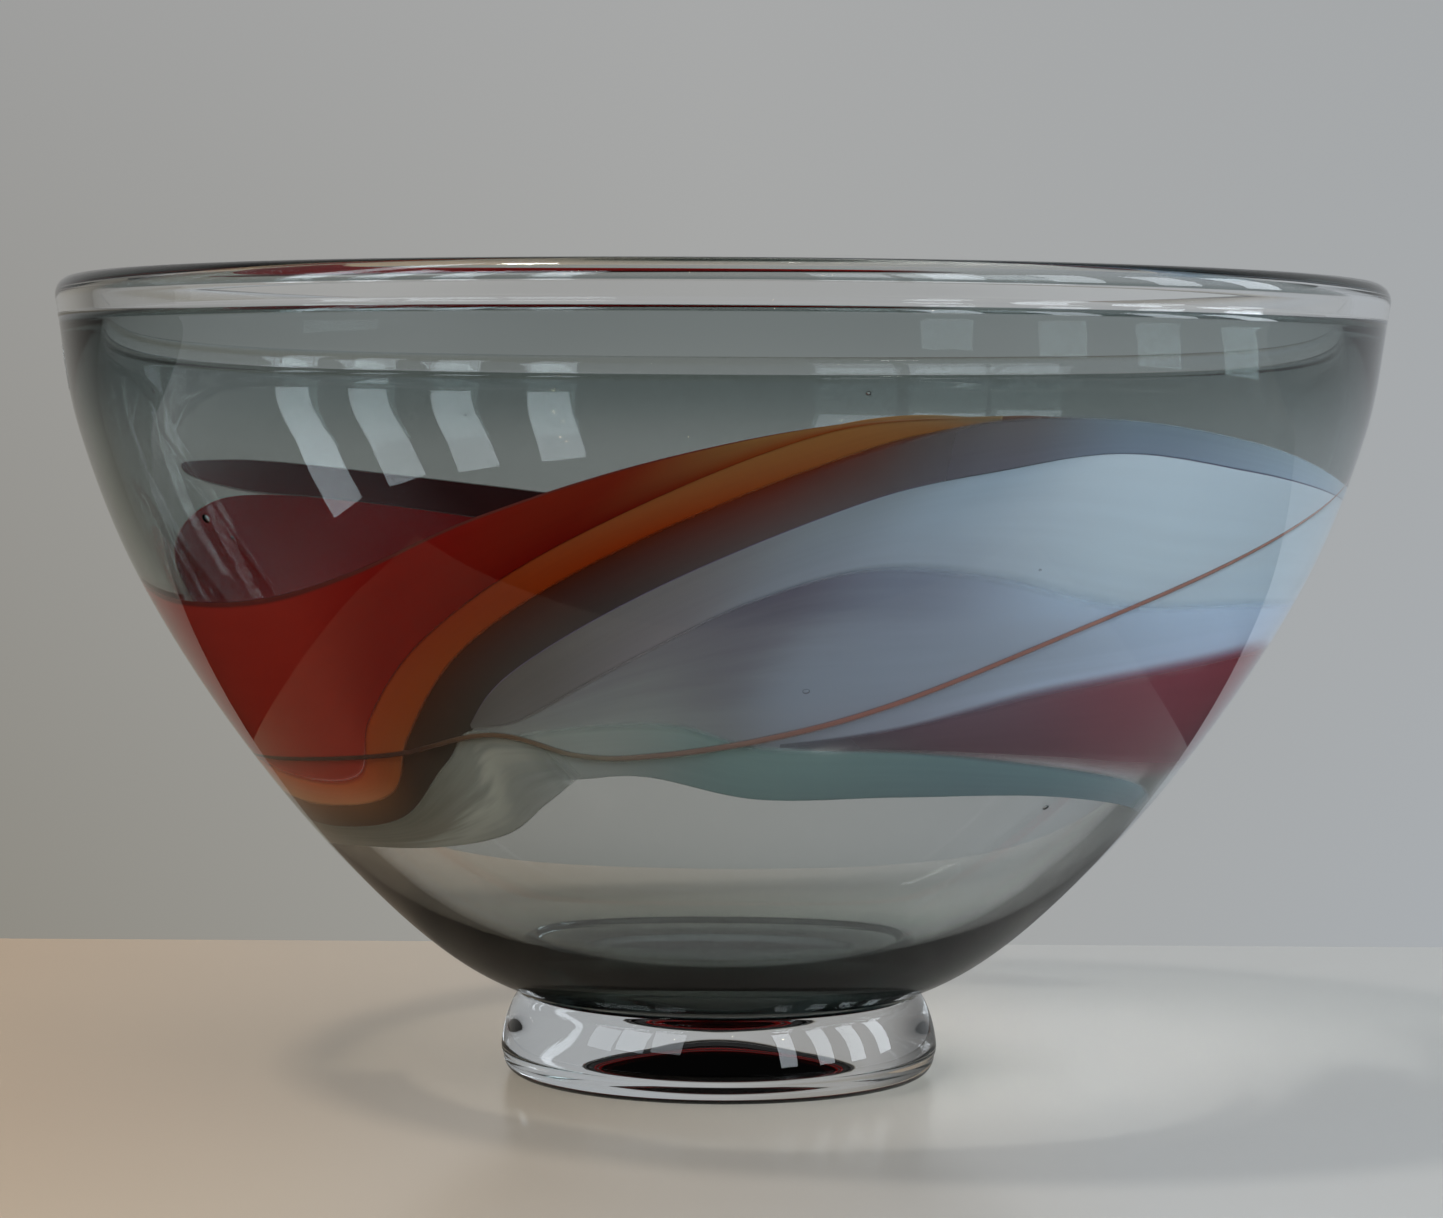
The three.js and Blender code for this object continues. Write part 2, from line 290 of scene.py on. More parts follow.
# ---------------------------------------------------------------- ribbons
def ribbon(name, upper, lower, depth, over_top=0.0, over_bottom=0.0, tips=(0, 0), thick=0.12,
           steps=240, rows=32):
    """A thin curved plate of colour inside the wall, between two edges of (angle, height) points, at a
    depth under the skin. over_top and over_bottom are how far it runs on past its edges, in mm, under
    or over its neighbour. tips are the shares of its length over which its two ends are rounded.
    'across' runs from its upper edge to its lower one, 'along' left to right."""
    share = np.linspace(0, 1, steps + 1)
    full = smooth_step(0, 0.1, np.minimum(share, 1 - share))[:, None]
    high = spline(upper, share) + full * (0, over_top)
    low = spline(lower, share) - full * (0, over_bottom)
    for tip, reach in zip(tips, (share, 1 - share)):
        if tip:
            inside = 1 - np.clip(reach / tip, 0.002, 1)
            squeeze = (1 - np.sqrt(1 - inside**2))[:, None] / 2 * (high - low)
            high, low = high - squeeze, low + squeeze
    across = np.linspace(0, 1, rows + 1)
    place = high[:, None] * (1 - across[None, :, None]) + low[:, None] * across[None, :, None]
    body = np.sin(math.pi * across) ** 0.35 * 0.6 + 0.4
    ends = np.minimum(1, np.minimum(share, 1 - share) * 14) * 0.9 + 0.1
    half = thick / 2 * body[None, :] * ends[:, None]
    vertices = []
    for side in (-1, 1):
        points = in_wall(place[..., 0], place[..., 1], depth + side * half)
        vertices.append(points.reshape(-1, 3))
    vertices = np.concatenate(vertices)
    width, sheet = rows + 1, (steps + 1) * (rows + 1)
    faces = []
    for i in range(steps):
        for k in range(rows):
            a = i * width + k
            faces.append((a, a + 1, a + width + 1, a + width))
            faces.append((sheet + a, sheet + a + width, sheet + a + width + 1, sheet + a + 1))
        top, bottom = i * width, i * width + rows
        faces.append((top, top + width, sheet + top + width, sheet + top))
        faces.append((bottom, sheet + bottom, sheet + bottom + width, bottom + width))
    for k in range(rows):
        end = steps * width + k
        faces.append((k, sheet + k, sheet + k + 1, k + 1))
        faces.append((end, end + 1, sheet + end + 1, sheet + end))
    piece = link_mesh(name, vertices, faces)
    add_layer(piece, "along", np.tile(np.repeat(share, width), 2))
    add_layer(piece, "across", np.tile(np.tile(across, steps + 1), 2))
    return piece


# ---------------------------------------------------------------- materials
class Nodes:
    """A short way to build the nodes of a new material or world."""

    def __init__(self, owner, output="ShaderNodeOutputMaterial"):
        owner.use_nodes = True
        self.owner = owner
        self.tree = owner.node_tree
        self.tree.nodes.clear()
        self.output = self.add(output)

    def add(self, kind, **settings):
        node = self.tree.nodes.new(kind)
        for key, value in settings.items():
            setattr(node, key, value)
        return node

    def join(self, source, target):
        self.tree.links.new(source, target)

    def attribute(self, name):
        return self.add("ShaderNodeAttribute", attribute_name=name).outputs["Fac"]

    def maths(self, operation, first, second=None):
        node = self.add("ShaderNodeMath", operation=operation)
        for slot, value in enumerate((first, second)):
            if value is None:
                continue
            if isinstance(value, (int, float)):
                node.inputs[slot].default_value = value
            else:
                self.join(value, node.inputs[slot])
        return node.outputs[0]

    def ramp(self, source, stops, smooth="LINEAR"):
        node = self.add("ShaderNodeValToRGB")
        node.color_ramp.interpolation = smooth
        while len(node.color_ramp.elements) < len(stops):
            node.color_ramp.elements.new(0.5)
        for element, (place, colour) in zip(node.color_ramp.elements, stops):
            element.position = place
            value = (colour,) * 3 if isinstance(colour, (int, float)) else colour
            element.color = (*value, 1)
        self.join(source, node.inputs[0])
        return node.outputs[0]

    def blend(self, share, first, second):
        node = self.add("ShaderNodeMix", data_type="RGBA")
        for slot, value in ((0, share), (6, first), (7, second)):
            if isinstance(value, tuple):
                node.inputs[slot].default_value = (*value, 1)
            else:
                self.join(value, node.inputs[slot])
        return node.outputs[2]

    def noise(self, scale, detail=2.0, stretch=(1, 1, 1), source=None):
        if source is None:
            source = self.add("ShaderNodeTexCoord").outputs["Object"]
        mapping = self.add("ShaderNodeMapping")
        mapping.inputs["Scale"].default_value = stretch
        self.join(source, mapping.inputs[0])
        noise = self.add("ShaderNodeTexNoise")
        noise.inputs["Scale"].default_value = scale
        noise.inputs["Detail"].default_value = detail
        self.join(mapping.outputs[0], noise.inputs["Vector"])
        return noise.outputs["Fac"]

    def mix(self, share, first, second):
        node = self.add("ShaderNodeMixShader")
        if isinstance(share, (int, float)):
            node.inputs[0].default_value = share
        else:
            self.join(share, node.inputs[0])
        self.join(first, node.inputs[1])
        self.join(second, node.inputs[2])
        return node.outputs[0]


def new_material(name):
    return Nodes(bpy.data.materials.new(name))


GLASS_IOR = 1.5


def lamps_pass(nodes, shader, tint):
    """Lets lamp light through glass without bending it, a little tinted."""
    path = nodes.add("ShaderNodeLightPath")
    through = nodes.add("ShaderNodeBsdfTransparent")
    through.inputs["Color"].default_value = (*tint, 1)
    return nodes.mix(path.outputs["Is Shadow Ray"], shader, through.outputs[0])


def fine_waves(nodes, strength):
    """The faint orange-peel of a fire-polished surface."""
    bump = nodes.add("ShaderNodeBump")
    bump.inputs["Strength"].default_value = strength
    bump.inputs["Distance"].default_value = 0.001
    nodes.join(nodes.noise(22, 2, (1, 1, 0.45)), bump.inputs["Height"])
    return bump.outputs[0]


def clear_glass():
    nodes = new_material("clear_glass")
    glass = nodes.add("ShaderNodeBsdfPrincipled")
    glass.inputs["Base Color"].default_value = (0.985, 0.99, 0.99, 1)
    glass.inputs["Transmission Weight"].default_value = 1
    glass.inputs["Roughness"].default_value = 0
    glass.inputs["IOR"].default_value = GLASS_IOR
    nodes.join(fine_waves(nodes, 0.02), glass.inputs["Normal"])
    nodes.join(lamps_pass(nodes, glass.outputs[0], (0.93, 0.93, 0.93)), nodes.output.inputs[0])
    return nodes.owner


def fused_face():
    nodes = new_material("fused_face")
    nodes.join(nodes.add("ShaderNodeBsdfTransparent").outputs[0], nodes.output.inputs[0])
    return nodes.owner


def smoke_glass():
    nodes = new_material("smoke_glass")
    glass = nodes.add("ShaderNodeBsdfPrincipled")
    glass.inputs["Base Color"].default_value = (1, 1, 1, 1)
    glass.inputs["Transmission Weight"].default_value = 1
    glass.inputs["Roughness"].default_value = 0
    glass.inputs["IOR"].default_value = GLASS_IOR
    nodes.join(fine_waves(nodes, 0.02), glass.inputs["Normal"])
    skin_shader = lamps_pass(nodes, glass.outputs[0], (0.95, 0.95, 0.95))
    fused = nodes.add("ShaderNodeBsdfTransparent")
    surface = nodes.mix(nodes.attribute("fused"), skin_shader, fused.outputs[0])
    nodes.join(surface, nodes.output.inputs["Surface"])
    volume = nodes.add("ShaderNodeVolumeAbsorption")
    volume.inputs["Color"].default_value = (0.0, 0.13, 0.12, 1)
    volume.inputs["Density"].default_value = 145
    nodes.join(volume.outputs[0], nodes.output.inputs["Volume"])
    return nodes.owner


def colour_glass(name, top, bottom, cover=((0, 1), (1, 1)), soft=(0.0, 0.0), glow=0.35, streaks=0.06,
                 edge=None, bend=0.0, vein=None):
    """Colour inside glass. top and bottom are its colours along its two edges, left to right, and they
    blend across it. cover is how much it hides what lies behind, soft is the share of its width over
    which each edge fades out, and edge is a colour and a width for a line along its upper edge. vein is
    a colour, a width and a path of (along, across, strength) for a soft streak inside it."""
    nodes = new_material(name)
    along, across = nodes.attribute("along"), nodes.attribute("across")
    place = nodes.add("ShaderNodeCombineXYZ")
    nodes.join(nodes.maths("MULTIPLY", along, 3.0), place.inputs[0])
    nodes.join(nodes.maths("MULTIPLY", across, 7.0), place.inputs[1])
    streak = nodes.noise(1.6, 3, (1, 1, 1), place.outputs[0])
    warped = across
    if bend:
        sway = nodes.maths("MULTIPLY", nodes.maths("SUBTRACT", streak, 0.5), bend)
        warped = nodes.maths("ADD", across, sway)
    colour = nodes.blend(warped, nodes.ramp(along, top, "EASE"), nodes.ramp(along, bottom, "EASE"))
    if vein is not None:
        tint, reach, path = vein
        centre = nodes.ramp(along, [(at, side) for at, side, _ in path], "EASE")
        away = nodes.maths("ABSOLUTE", nodes.maths("SUBTRACT", warped, centre))
        strength = nodes.ramp(along, [(at, amount) for at, _, amount in path], "EASE")
        share = nodes.maths("MULTIPLY", nodes.ramp(away, [(0, 1), (reach, 0)], "EASE"), strength)
        colour = nodes.blend(share, colour, tint)
    if edge is not None:
        line, width = edge
        share = nodes.ramp(across, [(0, 1), (width * 0.5, 1), (width, 0)], "EASE")
        colour = nodes.blend(share, colour, line)
    shade = nodes.add("ShaderNodeHueSaturation")
    nodes.join(nodes.maths("ADD", nodes.maths("MULTIPLY", streak, streaks * 2), 1 - streaks),
               shade.inputs["Value"])
    nodes.join(colour, shade.inputs["Color"])
    body = nodes.add("ShaderNodeBsdfDiffuse")
    nodes.join(shade.outputs[0], body.inputs["Color"])
    backlit = nodes.add("ShaderNodeBsdfTranslucent")
    nodes.join(shade.outputs[0], backlit.inputs["Color"])
    solid = nodes.mix(glow, body.outputs[0], backlit.outputs[0])
    ends = nodes.ramp(along, cover, "EASE")
    if soft[0] or soft[1]:
        stops = [(0, 0), (max(soft[0], 0.001), 1), (1 - max(soft[1], 0.001), 1), (1, 0)]
        ends = nodes.maths("MULTIPLY", nodes.ramp(across, stops, "EASE"), ends)
    clear = nodes.add("ShaderNodeBsdfTransparent")
    nodes.join(nodes.mix(ends, clear.outputs[0], solid), nodes.output.inputs[0])
    return nodes.owner


# ---------------------------------------------------------------- edges of the ribbons: angle, height
RED_TOP = [(-84, 123), (-66, 118), (-48, 119), (-34, 126), (-20, 139), (-5, 151), (9, 158.5), (22, 160.5)]
RED_BOTTOM = [(-84, 81), (-62, 76), (-46, 78), (-39, 92), (-28, 112), (-12, 135), (8, 157), (22, 160)]
ORANGE_BOTTOM = [(-84, 71), (-60, 70), (-42, 75), (-34, 90), (-23, 112), (-6, 135), (12, 154), (22, 159.5)]
CHARCOAL_BOTTOM = [(-84, 64), (-60, 64), (-42, 69), (-31, 83), (-20, 105), (-4, 126), (12, 143), (22, 149)]
SLATE_TOP = [(22, 160), (34, 160), (50, 155), (72, 146), (95, 142), (118, 138)]
SLATE_BOTTOM = [(22, 149), (34, 153), (50, 149), (72, 143), (95, 139), (118, 135)]
ICE_TOP = [(-26, 93), *CHARCOAL_BOTTOM[4:], *SLATE_BOTTOM[1:]]
ICE_BOTTOM = [(-26, 92), (-19, 97), (-8, 110), (2, 122), (12, 129), (23, 127), (38, 120), (60, 119),
              (95, 116), (118, 114)]
VEIL_BOTTOM = [(-30, 84), (-18, 92), (-8, 94), (0, 92), (6, 90.5), (18, 94), (34, 103), (58, 109),
               (84, 111), (110, 110)]
PLUM_TOP = [(6, 90), (18, 94), (34, 103), (58, 109), (71, 110), (84, 105), (97, 93)]
PLUM_BOTTOM = [(6, 89), (20, 88), (38, 83), (54, 78), (71, 76), (84, 79), (97, 87)]
GREEN_TOP = [(-29, 86), (-18, 92), (-5, 94), (4, 89), (20, 88), (38, 83), (56, 77), (72, 70)]
GREEN_BOTTOM = [(-27, 80), (-16, 81), (-8, 82), (4, 77), (20, 77), (38, 76), (56, 72), (72, 67)]
TAIL_TOP = [(-84, 64), (-60, 64), (-42, 69), (-31, 83), (-26, 91), (-17, 88)]
TAIL_BOTTOM = [(-84, 57), (-60, 60), (-40, 62.5), (-27, 67), (-20, 75), (-15, 82)]
MAROON_TOP = [(-210, 110), (-172, 123), (-140, 135), (-119, 138), (-105, 132), (-88, 118)]
MAROON_BOTTOM = [(-210, 104), (-172, 100), (-140, 98), (-119, 94), (-105, 90), (-88, 86)]
UMBER_TOP = [(-212, 118), (-188, 130), (-160, 140.5), (-136, 147.5), (-121, 150), (-107, 148.5)]
UMBER_BOTTOM = [(-212, 111), (-188, 117), (-160, 128.5), (-136, 137), (-120, 140), (-107, 145)]
THREAD = [(-84, 79), (-60, 81), (-38, 85), (-24, 91), (-15, 87), (-8, 87), (4, 91), (17, 99), (37, 117),
          (60, 135), (78, 147)]
THREAD_DEPTH = 0.85


def thread_mesh():
    """A fine round thread that swells and thins along its way."""
    steps, sides = 320, 10
    share = np.linspace(0, 1, steps + 1)
    path = spline(THREAD, share)
    turn = np.radians(path[:, 0])
    centre = in_wall(path[:, 0], path[:, 1], THREAD_DEPTH)
    outward = np.stack([np.sin(turn), -np.cos(turn), np.zeros_like(turn)], 1)
    along = np.gradient(centre, axis=0)
    along /= np.linalg.norm(along, axis=1)[:, None]
    aside = np.cross(along, outward)
    aside /= np.linalg.norm(aside, axis=1)[:, None]
    outward = np.cross(aside, along)
    swell = np.interp(share, [0, 0.1, 0.35, 0.45, 0.6, 0.85, 1], [0.3, 0.8, 0.9, 0.9, 1.05, 0.7, 0.2])
    vertices = []
    for i in range(steps + 1):
        for k in range(sides):
            a = 2 * math.pi * k / sides
            reach = aside[i] * math.cos(a) + outward[i] * math.sin(a) * 0.35
            vertices.append(centre[i] + reach * swell[i] * MM)
    faces = []
    for i in range(steps):
        for k in range(sides):
            n = (k + 1) % sides
            a, b = i * sides, (i + 1) * sides
            faces.append((a + k, b + k, b + n, a + n))
    faces.append(list(range(sides)))
    faces.append([steps * sides + k for k in range(sides)][::-1])
    piece = link_mesh("glass_thread", vertices, faces)
    add_layer(piece, "along", np.repeat(share, sides))
    add_layer(piece, "across", np.tile([0.5 + 0.5 * math.cos(2 * math.pi * k / sides) for k in range(sides)],
                                       steps + 1))
    return piece


# ---------------------------------------------------------------- build the object
def finish_piece(piece, node, slot, *materials):
    for material in materials:
        piece.data.materials.append(material)
    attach(piece, "root")
    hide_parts(node)


CLEAR, FUSED_FACE = clear_glass(), fused_face()
finish_piece(build_smoke_bowl(), "smoke_bowl", "smoke_glass", smoke_glass())
finish_piece(build_clear_casing(), "clear_casing", "clear_glass", CLEAR, FUSED_FACE)
finish_piece(build_lip_wrap(), "lip_wrap", "clear_glass", CLEAR, FUSED_FACE)
finish_piece(build_foot(), "foot", "clear_glass", CLEAR, FUSED_FACE)

# Depths under the outer skin, in mm: neighbours that run over each other lie at different depths
OUTER, MIDDLE, INNER = 1.4, 1.6, 1.8

RIBBONS = [
    dict(node="ribbon_red", edges=(RED_TOP, RED_BOTTOM), depth=OUTER, over=(0, 0.4),
         top=[(0, (0.5, 0.06, 0.04)), (0.3, (0.48, 0.05, 0.032)), (0.5, (0.34, 0.014, 0.01)),
              (0.68, (0.27, 0.03, 0.012)), (0.8, (0.35, 0.18, 0.06)), (1, (0.3, 0.25, 0.16))],
         bottom=[(0, (0.6, 0.1, 0.05)), (0.3, (0.5, 0.04, 0.02)), (0.5, (0.34, 0.01, 0.005)),
                 (0.74, (0.2, 0.006, 0.003)), (0.86, (0.32, 0.06, 0.01)), (1, (0.36, 0.24, 0.13))],
         cover=[(0, 0), (0.07, 1), (1, 1)], soft=(0, 0.06), edge=((0.18, 0.04, 0.03), 0.04)),
    dict(node="ribbon_orange", edges=(RED_BOTTOM, ORANGE_BOTTOM), depth=MIDDLE, over=(0.8, 0.4),
         top=[(0, (0.8, 0.24, 0.07)), (0.2, (0.7, 0.16, 0.04)), (0.4, (0.52, 0.09, 0.015)),
              (0.6, (0.42, 0.055, 0.01)), (0.85, (0.4, 0.19, 0.06)), (1, (0.28, 0.26, 0.17))],
         bottom=[(0, (0.8, 0.5, 0.24)), (0.2, (0.75, 0.36, 0.16)), (0.35, (0.45, 0.13, 0.03)),
                 (0.5, (0.44, 0.085, 0.012)), (0.7, (0.38, 0.045, 0.005)), (0.9, (0.34, 0.15, 0.05)),
                 (1, (0.3, 0.2, 0.12))],
         cover=[(0, 0), (0.07, 1), (1, 1)], soft=(0, 0.12)),
    dict(node="ribbon_charcoal", depth=INNER, over=(0.8, 1.5),
         edges=([*ORANGE_BOTTOM, (34, 158), (45, 155)], [*CHARCOAL_BOTTOM, (34, 153), (45, 150)]),
         top=[(0, (0.4, 0.18, 0.08)), (0.15, (0.3, 0.13, 0.05)), (0.3, (0.08, 0.03, 0.015)),
              (0.5, (0.1, 0.016, 0.004)), (0.62, (0.19, 0.026, 0.005)), (0.76, (0.19, 0.11, 0.08)),
              (1, (0.26, 0.28, 0.3))],
         bottom=[(0, (0.18, 0.14, 0.09)), (0.2, (0.08, 0.06, 0.04)), (0.35, (0.07, 0.06, 0.045)),
                 (0.5, (0.1, 0.09, 0.085)), (0.65, (0.19, 0.17, 0.17)), (0.8, (0.24, 0.23, 0.25)),
                 (1, (0.3, 0.34, 0.4))],
         cover=[(0, 0), (0.07, 0.97), (0.8, 0.97), (1, 0)]),
    dict(node="ribbon_slate", depth=OUTER, over=(0, 0.3),
         edges=([(4, 146), (13, 154.5), *SLATE_TOP], [(4, 135), (13, 144), *SLATE_BOTTOM]),
         top=[(0, (0.18, 0.13, 0.11)), (0.3, (0.22, 0.21, 0.21)), (0.45, (0.27, 0.35, 0.41)),
              (0.7, (0.42, 0.53, 0.6)), (1, (0.42, 0.52, 0.6))],
         bottom=[(0, (0.22, 0.19, 0.19)), (0.3, (0.23, 0.23, 0.27)), (0.45, (0.31, 0.38, 0.47)),
                 (0.7, (0.46, 0.57, 0.67)), (1, (0.46, 0.56, 0.66))],
         cover=[(0, 0), (0.1, 0.1), (0.32, 0.92), (0.6, 0.85), (1, 0)], soft=(0.12, 0)),
    dict(node="ribbon_ice", edges=(ICE_TOP, ICE_BOTTOM), depth=MIDDLE, over=(0, 2),
         top=[(0, (0.2, 0.18, 0.16)), (0.12, (0.24, 0.22, 0.2)), (0.22, (0.33, 0.32, 0.32)),
              (0.33, (0.4, 0.47, 0.52)), (0.45, (0.51, 0.63, 0.72)), (0.56, (0.72, 0.82, 0.88)),
              (0.75, (0.58, 0.67, 0.73)), (1, (0.58, 0.68, 0.75))],
         bottom=[(0, (0.26, 0.26, 0.24)), (0.12, (0.3, 0.29, 0.28)), (0.25, (0.4, 0.38, 0.4)),
                 (0.36, (0.45, 0.5, 0.57)), (0.5, (0.54, 0.62, 0.7)), (0.65, (0.7, 0.8, 0.86)),
                 (1, (0.68, 0.8, 0.88))],
         cover=[(0, 0.85), (0.2, 0.9), (0.45, 0.95), (0.8, 0.95), (1, 0)], soft=(0, 0.12),
         edge=((0.2, 0.16, 0.26), 0.02)),
    dict(node="ribbon_violet", edges=(ICE_BOTTOM, VEIL_BOTTOM), depth=INNER, over=(7, 5),
         top=[(0, (0.3, 0.29, 0.27)), (0.2, (0.27, 0.25, 0.28)), (0.38, (0.2, 0.18, 0.25)),
              (0.5, (0.33, 0.38, 0.48)), (0.65, (0.62, 0.75, 0.88)), (1, (0.66, 0.78, 0.9))],
         bottom=[(0, (0.46, 0.49, 0.44)), (0.2, (0.5, 0.55, 0.53)), (0.35, (0.42, 0.45, 0.46)),
                 (0.55, (0.52, 0.56, 0.66)), (0.7, (0.68, 0.78, 0.92)), (1, (0.64, 0.74, 0.88))],
         vein=((0.46, 0.53, 0.62), 0.45, [(0.3, 0.75, 0), (0.45, 0.65, 0.8), (0.6, 0.6, 0.8), (0.8, 0.7, 0)]),
         cover=[(0, 0.9), (0.4, 0.95), (0.8, 0.95), (1, 0)], soft=(0, 0.1), bend=0.3),
    dict(node="ribbon_plum", edges=(PLUM_TOP, PLUM_BOTTOM), depth=OUTER, over=(0, 1),
         top=[(0, (0.2, 0.2, 0.22)), (0.25, (0.26, 0.17, 0.21)), (0.45, (0.36, 0.1, 0.13)),
              (0.62, (0.4, 0.09, 0.115)), (0.8, (0.26, 0.15, 0.19)), (1, (0.22, 0.22, 0.27))],
         bottom=[(0, (0.14, 0.15, 0.17)), (0.3, (0.2, 0.11, 0.13)), (0.5, (0.27, 0.13, 0.15)),
                 (0.8, (0.3, 0.26, 0.29)), (1, (0.35, 0.37, 0.4))],
         cover=[(0, 0.3), (0.2, 0.9), (0.75, 0.95), (1, 0)], soft=(0.22, 0.25)),
    dict(node="ribbon_sea_green", edges=(GREEN_TOP, GREEN_BOTTOM), depth=MIDDLE, over=(1, 0),
         top=[(0, (0.55, 0.57, 0.52)), (0.2, (0.52, 0.6, 0.56)), (0.4, (0.36, 0.52, 0.5)),
              (0.7, (0.25, 0.38, 0.4)), (1, (0.33, 0.43, 0.48))],
         bottom=[(0, (0.55, 0.58, 0.54)), (0.2, (0.48, 0.52, 0.5)), (0.4, (0.3, 0.42, 0.41)),
                 (0.7, (0.24, 0.33, 0.35)), (1, (0.32, 0.38, 0.41))],
         cover=[(0, 0.3), (0.1, 0.92), (0.85, 0.92), (1, 0.1)], soft=(0.2, 0.02)),
    dict(node="ribbon_grey_green", edges=(TAIL_TOP, TAIL_BOTTOM), depth=OUTER, over=(0.8, 0),
         top=[(0, (0.3, 0.28, 0.2)), (0.4, (0.27, 0.27, 0.21)), (0.7, (0.4, 0.42, 0.36)),
              (1, (0.45, 0.5, 0.46))],
         bottom=[(0, (0.36, 0.34, 0.27)), (0.4, (0.34, 0.32, 0.26)), (0.7, (0.46, 0.48, 0.44)),
                 (1, (0.5, 0.54, 0.52))],
         vein=((0.62, 0.64, 0.56), 0.3, [(0.3, 0.95, 0), (0.45, 0.9, 0.6), (0.6, 0.72, 0.9),
                                         (0.8, 0.35, 1), (1, 0.3, 0.3)]),
         cover=[(0, 0), (0.07, 0.9), (0.86, 0.92), (1, 0.1)], soft=(0.04, 0.02), streaks=0.2,
         bend=0.5),
    dict(node="ribbon_maroon", edges=(MAROON_TOP, MAROON_BOTTOM), depth=INNER, over=(1, 0), tips=(0, 0.04),
         top=[(0, (0.5, 0.012, 0.012)), (0.7, (0.42, 0.016, 0.016)), (1, (0.33, 0.08, 0.07))],
         bottom=[(0, (0.5, 0.012, 0.012)), (1, (0.46, 0.07, 0.065))],
         cover=[(0, 0), (0.1, 1), (1, 1)], soft=(0, 0.1)),
    dict(node="ribbon_umber", edges=(UMBER_TOP, UMBER_BOTTOM), depth=MIDDLE, over=(0, 0.8), tips=(0, 0.04),
         top=[(0, (0.08, 0.02, 0.02)), (0.7, (0.12, 0.03, 0.03)), (1, (0.16, 0.05, 0.05))],
         bottom=[(0, (0.05, 0.015, 0.015)), (1, (0.2, 0.04, 0.04))],
         cover=[(0, 0), (0.1, 1), (1, 1)], soft=(0.06, 0.15)),
]


def build_ribbon(node, edges, depth, over, tips=(0, 0), **look):
    piece = ribbon(node.replace("ribbon", "colour"), *edges, depth, *over, tips)
    slot = node.removeprefix("ribbon_") + "_glass"
    finish_piece(piece, node, slot, colour_glass(piece.name, **look))


for facts in RIBBONS:
    build_ribbon(**facts)

THREAD_COLOURS = [(0, (0.06, 0.02, 0.015)), (0.2, (0.08, 0.03, 0.02)), (0.3, (0.2, 0.12, 0.07)),
                  (0.42, (0.26, 0.22, 0.16)), (0.55, (0.3, 0.2, 0.16)), (0.7, (0.4, 0.19, 0.15)),
                  (1, (0.42, 0.25, 0.2))]
finish_piece(thread_mesh(), "copper_thread", "copper_glass",
             colour_glass("copper_colour", THREAD_COLOURS, THREAD_COLOURS, ((0, 0.85), (1, 0.85)),
                          (0.35, 0.35)))


def build_label():
    """A blank round film that follows the wall just under the lip, with a printed ring near its edge."""
    rings, sides = 14, 64
    share = np.linspace(0.001, 1, rings + 1)
    turn = np.linspace(0, 2 * math.pi, sides, endpoint=False)
    reach = LABEL_RADIUS * share[:, None]
    height = LABEL_HEIGHT + reach * np.sin(turn)
    angle = LABEL_ANGLE + np.degrees(reach * np.cos(turn) / wall_place(LABEL_HEIGHT, 0)[0])
    sheets = [in_wall(angle, height, -lift).reshape(-1, 3) for lift in (LABEL_GAP, LABEL_GAP + LABEL_FILM)]
    sheet = len(sheets[0])
    faces = []
    for i in range(rings):
        for k in range(sides):
            a, b = i * sides + k, i * sides + (k + 1) % sides
            faces.append((a, a + sides, b + sides, b))
            faces.append((sheet + a, sheet + b, sheet + b + sides, sheet + a + sides))
    for k in range(sides):
        a, b = rings * sides + k, rings * sides + (k + 1) % sides
        faces.append((a, sheet + a, sheet + b, b))
    faces.append(list(range(sides)))
    faces.append(list(range(sheet, sheet + sides))[::-1])
    piece = link_mesh("film_label", np.concatenate(sheets), faces)
    add_layer(piece, "reach", np.tile(np.repeat(share, sides), 2))
    return piece


def label_film():
    """Clear film with a faint grey print."""
    nodes = new_material("label_film")
    film = nodes.add("ShaderNodeBsdfPrincipled")
    print_colour = nodes.ramp(nodes.attribute("reach"), [(0, 0.55), (0.84, 0.55), (0.87, 0.12), (0.93, 0.12),
                                                         (0.96, 0.6), (1, 0.6)])
    nodes.join(print_colour, film.inputs["Base Color"])
    film.inputs["Roughness"].default_value = 0.28
    cover = nodes.ramp(nodes.attribute("reach"), [(0, 0.14), (0.84, 0.14), (0.87, 0.6), (0.93, 0.6),
                                                  (0.96, 0.2), (1, 0.4)])
    grain = nodes.maths("MULTIPLY", cover, nodes.ramp(nodes.noise(900, 2), [(0.3, 0.75), (0.7, 1)]))
    clear = nodes.add("ShaderNodeBsdfTransparent")
    nodes.join(nodes.mix(grain, clear.outputs[0], film.outputs[0]), nodes.output.inputs[0])
    return nodes.owner


finish_piece(build_label(), "blank_label", "label_film", label_film())

# ---------------------------------------------------------------- stage
TABLE_REACH = 3
TABLE_BACK = 0.23
TABLE_FRONT = -0.205  # where the mirrored table top ends
TABLE_SIDE = 0.22
ROOM_NEAR, ROOM_FAR = 0.35, 0.8  # the mirrored room grows paler between these distances aside


def mirror_only(nodes):
    """1 for what is seen mirrored in a surface, 0 for what is seen directly or through glass."""
    path = nodes.add("ShaderNodeLightPath")
    return nodes.maths("MINIMUM", path.outputs["Glossy Depth"], 1.0)


def between(nodes, value, low, high):
    return nodes.maths("MULTIPLY", nodes.maths("GREATER_THAN", value, low),
                       nodes.maths("LESS_THAN", value, high))


